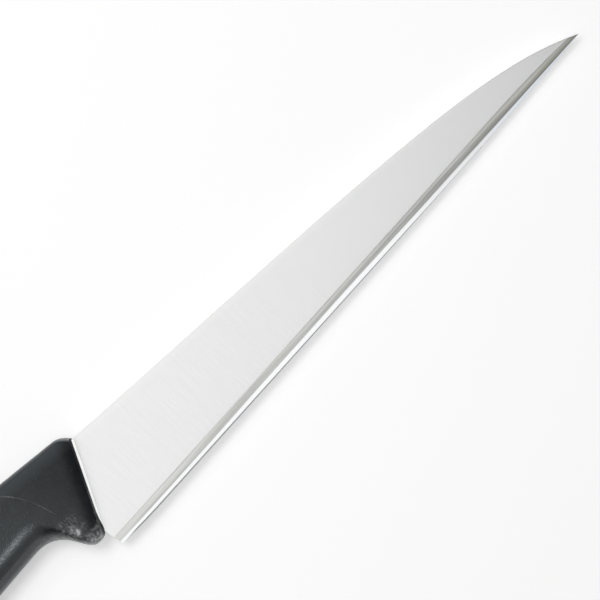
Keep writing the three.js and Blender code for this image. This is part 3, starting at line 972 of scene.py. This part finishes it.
def make_blade():
    finishes = list(STEEL_FINISHES.values())
    strip = ZONES.index("strip")
    sections = [blade_section(*station) for station in blade_stations()]
    vertices, faces = loft(np.stack([ring for ring, _ in sections]))
    zones = sections[0][1] * (len(sections) - 1) + [ZONES.index("spine")] * 2
    blade = piece("blade_steel", vertices, faces, finishes, zones)

    vertices, faces = stock_body()
    combine(blade, piece("stock", vertices, faces, finishes, [strip] * len(faces)), "UNION")
    for hole in pins("hole", TANG_HOLE_DIAMETER, 2 * STOCK_THICKNESS, finishes, strip):
        combine(blade, hole, "DIFFERENCE")
    return blade


# Handle

def rows_between(first, last, step):
    """Stations from first to last in even steps of about that length, for each column."""
    span = np.max(np.abs(np.subtract(last, first)))
    share = np.linspace(0, 1, max(int(round(span / step)), 1) + 1)[:, None]
    return lerp(np.broadcast_to(first, COLUMNS), np.broadcast_to(last, COLUMNS), share)


def stem_sides(grow, start):
    """Right sides of the core's stem inside the sleeve, with ring grooves, larger all round by grow."""
    wall = SLEEVE_WALL + GRIP_SINK - grow
    end = station_at(TANG_END - STEM_END_WALL) + grow
    half = LOCK_WIDTH / 2 - grow
    places = []
    for lock in range(LOCK_COUNT):
        middle = LOCK_FIRST + lock * LOCK_PITCH
        places += [(middle - half - LOCK_DEPTH, wall), (middle - half, wall + LOCK_DEPTH)]
        places += [(middle + half, wall + LOCK_DEPTH), (middle + half + LOCK_DEPTH, wall)]
    places.append((end, wall))
    follow = skin(rows_between(start, STEM_STRAIGHT, 2 * GRIP_STEP), wall)
    straight = [skin(np.full((1, COLUMNS), station), inset) for station, inset in places]
    return np.concatenate([follow, *straight])


def rounded_edge(start, radius, inset, way):
    """Right sides round an edge: from the skin at start to square in, towards the butt where way is 1."""
    turns = np.linspace(0, math.pi / 2, SEAM_ROWS + 1)[1:]
    sides = []
    for turn in turns:
        station = start + way * radius * math.sin(turn)
        sides.append(skin(station[None], inset + radius * (1 - math.cos(turn))))
    return np.concatenate(sides)


def make_core():
    """The guard and stem in one, with a slot for the tang and plugs through its holes."""
    shares = np.linspace(0, 1, NOSE_ROWS + 1)[:, None] ** 2
    nose = skin(shares * (SEAM - SEAM_ROUND - SEAM_LINE_WIDTH), MOULD_SINK)
    line = skin((SEAM - SEAM_ROUND)[None], MOULD_SINK)
    edge = rounded_edge(SEAM - SEAM_ROUND, SEAM_ROUND, MOULD_SINK, 1)
    sides = whole(np.concatenate([nose, line, edge, stem_sides(0, SEAM)]))
    vertices, faces = loft(sides)
    rows = np.arange(len(faces)) // sides.shape[1]
    finishes = [CORE_FINISH, SEAM_LINE_FINISH, FRONT_FINISH]
    seam_line = finishes.index(SEAM_LINE_FINISH)
    front = finishes.index(FRONT_FINISH)
    zones = np.where(rows == NOSE_ROWS, seam_line, np.where(rows < FRONT_ROWS, front, 0))
    core = piece("handle_core_moulding", vertices, faces, finishes, zones.tolist())
    past_front = FRONT_REACH + SPINE_HEIGHT
    slot = plate(stock_outline(FIT, past_front), STOCK_THICKNESS + 2 * FIT)
    combine(core, piece("slot", *slot, [CORE_FINISH]), "DIFFERENCE")
    for plug in pins("plug", TANG_HOLE_DIAMETER - 2 * FIT, 2 * STOCK_THICKNESS, [CORE_FINISH], 0):
        combine(core, plug, "UNION")
    return core


def make_sleeve():
    """The grained grip, hollow for the core's stem."""
    start = SEAM + FIT
    sink = GRIP_SINK + MOULD_SINK
    edge = rounded_edge(start + SLEEVE_ROUND, SLEEVE_ROUND, sink, -1)
    butt = BACK.length - BUTT_HIGH_ROUND * 2
    follow = skin(rows_between(start + SLEEVE_ROUND, STEM_STRAIGHT, GRIP_STEP), sink)
    grip = skin(rows_between(STEM_STRAIGHT, butt, GRIP_STEP)[1:], sink)
    end = skin(rows_between(butt, BACK.length, BUTT_STEP)[1:], sink)
    sides = np.concatenate([stem_sides(FIT, start)[::-1], edge[::-1], follow, grip, end])
    return piece("grip_sleeve_moulding", *loft(whole(sides)), [GRIP_FINISH])


PIECES = []
for made, node_name, slot_name in (
    (make_blade(), "blade", "steel"),
    (make_core(), "handle_core", "core_plastic"),
    (make_sleeve(), "grip_sleeve", "grip_plastic"),
):
    smooth(made)
    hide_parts(node_name)
    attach(made, "root")
    PIECES.append(made)


# Studio: floor, light and camera

def studio_axes():
    """The photograph's right, up and towards the camera, as columns in the frame."""
    turn = math.radians(VIEW_TURN)
    right = Vector((math.cos(turn), -math.sin(turn), 0))
    up = Vector((math.sin(turn), math.cos(turn), 0))
    return KNIFE.to_3x3() @ Matrix((right, up, (0, 0, 1))).transposed()


AXES = studio_axes()
MIDDLE = KNIFE @ (Vector((*VIEW_MIDDLE, 0)) * MM)


def softbox(name, tip_angle, spine_angle, distance, length, depth, radiance, lights=True, shows=True):
    """A lamp aimed at the view's middle from these angles off straight above, its length along the blade.

    Its distance and sizes are in metres. One that lights nothing is a card, which shows only in gloss, and
    one that doesn't show isn't seen there.
    """
    away = Vector((slope(tip_angle), slope(spine_angle), 1)).normalized()
    along = (Vector((1, 0, 0)) - away * away.x).normalized()
    axes = Matrix((along, away.cross(along), away)).transposed()
    lamp = bpy.data.lights.new(name, "AREA")
    lamp.shape = "RECTANGLE"
    lamp.size = length
    lamp.size_y = depth
    lamp.energy = radiance * math.pi * length * depth
    made = bpy.data.objects.new(name, lamp)
    place = Vector((*VIEW_MIDDLE, 0)) * MM + away * distance
    made.matrix_world = KNIFE @ Matrix.Translation(place) @ axes.to_4x4()
    made.visible_camera = False
    made.visible_diffuse = lights
    made.visible_glossy = shows
    bpy.context.scene.collection.objects.link(made)


def spot(name, target, tip_angle, spine_angle, distance, radius, cone, energy):
    """A round lamp that lights only a patch of the knife round a place on it, from these angles."""
    away = Vector((slope(tip_angle), slope(spine_angle), 1)).normalized()
    lamp = bpy.data.lights.new(name, "SPOT")
    lamp.energy = energy
    lamp.spot_size = math.radians(cone)
    lamp.spot_blend = SPOT_BLEND
    lamp.shadow_soft_size = radius
    made = bpy.data.objects.new(name, lamp)
    turn = Vector((0, 0, 1)).rotation_difference(away).to_matrix().to_4x4()
    place = Vector((*target, HANDLE_THICKNESS / 2)) * MM + away * distance
    made.matrix_world = KNIFE @ Matrix.Translation(place) @ turn
    made.visible_camera = False
    made.visible_diffuse = False
    bpy.context.scene.collection.objects.link(made)


def make_floor():
    """A floor under the knife's lowest place, turned part of the way from level to the blade's own plane."""
    up = Vector((0, 0, 1)).lerp(KNIFE.to_3x3() @ Vector((0, 0, 1)), FLOOR_TURN).normalized()
    lowest = min(up.dot(vertex.co) for made in PIECES for vertex in made.data.vertices)
    level = lowest - FLOOR_GAP * MM
    reach = FLOOR_REACH * MM
    corners = [(-reach, -reach, level), (reach, -reach, level), (reach, reach, level), (-reach, reach, level)]
    mesh = bpy.data.meshes.new("floor")
    mesh.from_pydata(corners, [], [(0, 1, 2, 3)])
    mesh.transform(Vector((0, 0, 1)).rotation_difference(up).to_matrix().to_4x4())
    floor = bpy.data.objects.new("floor", mesh)
    bpy.context.scene.collection.objects.link(floor)
    material, shader = material_of("floor_white", Base_Color=FLOOR_COLOUR, Roughness=1.0,
                                   Specular_IOR_Level=0.0, Emission_Color=(1, 1, 1, 1))
    path = node(material, "ShaderNodeLightPath").outputs
    seen = calculate(material, "ADD", path["Is Camera Ray"], path["Is Glossy Ray"])
    seen = calculate(material, "ADD", seen, path["Is Transmission Ray"])
    join(material, times(material, seen, FLOOR_GLOW), shader, "Emission Strength")
    mesh.materials.append(material)


def make_world():
    world = bpy.data.worlds.new("studio")
    world.use_nodes = True
    background = world.node_tree.nodes["Background"]
    background.inputs["Color"].default_value = (1, 1, 1, 1)
    background.inputs["Strength"].default_value = ROOM_LIGHT
    bpy.context.scene.world = world


def make_camera():
    camera = bpy.data.cameras.new("camera")
    camera.sensor_width = SENSOR
    camera.lens = SENSOR * VIEW_DISTANCE / VIEW_WIDTH
    made = bpy.data.objects.new("camera", camera)
    away = AXES @ Vector((0, 0, VIEW_DISTANCE * MM))
    made.matrix_world = Matrix.Translation(MIDDLE + away) @ AXES.to_4x4()
    bpy.context.scene.collection.objects.link(made)
    bpy.context.scene.camera = made


make_camera()
make_floor()
make_world()
softbox("overhead", tip_angle=-14, spine_angle=20, distance=1.3, length=1.35, depth=1.3, radiance=1)
softbox("key", tip_angle=-5, spine_angle=20, distance=1.3, length=0.4, depth=0.4, radiance=9.5, shows=False)
softbox("back_card", tip_angle=-24, spine_angle=60, distance=1.1, length=1.1, depth=0.85, radiance=0.72,
        lights=False)
softbox("side_card", tip_angle=-20, spine_angle=-54, distance=1.1, length=1.4, depth=0.8, radiance=0.68,
        lights=False)
softbox("edge_card", tip_angle=-33, spine_angle=-54, distance=1.1, length=1.1, depth=0.8, radiance=0.18,
        lights=False)
softbox("low_card", tip_angle=-23, spine_angle=-19.5, distance=1.1, length=1.08, depth=0.5, radiance=0.64,
        lights=False)
softbox("horizon_card", tip_angle=-50, spine_angle=-85, distance=1.1, length=1.4, depth=0.16, radiance=3.5,
        lights=False)
spot("grip_spot", target=(-36, 25), tip_angle=3, spine_angle=-19.6, distance=1.1, radius=0.015, cone=3.4,
     energy=26)
bpy.context.scene.view_settings.view_transform = "Standard"
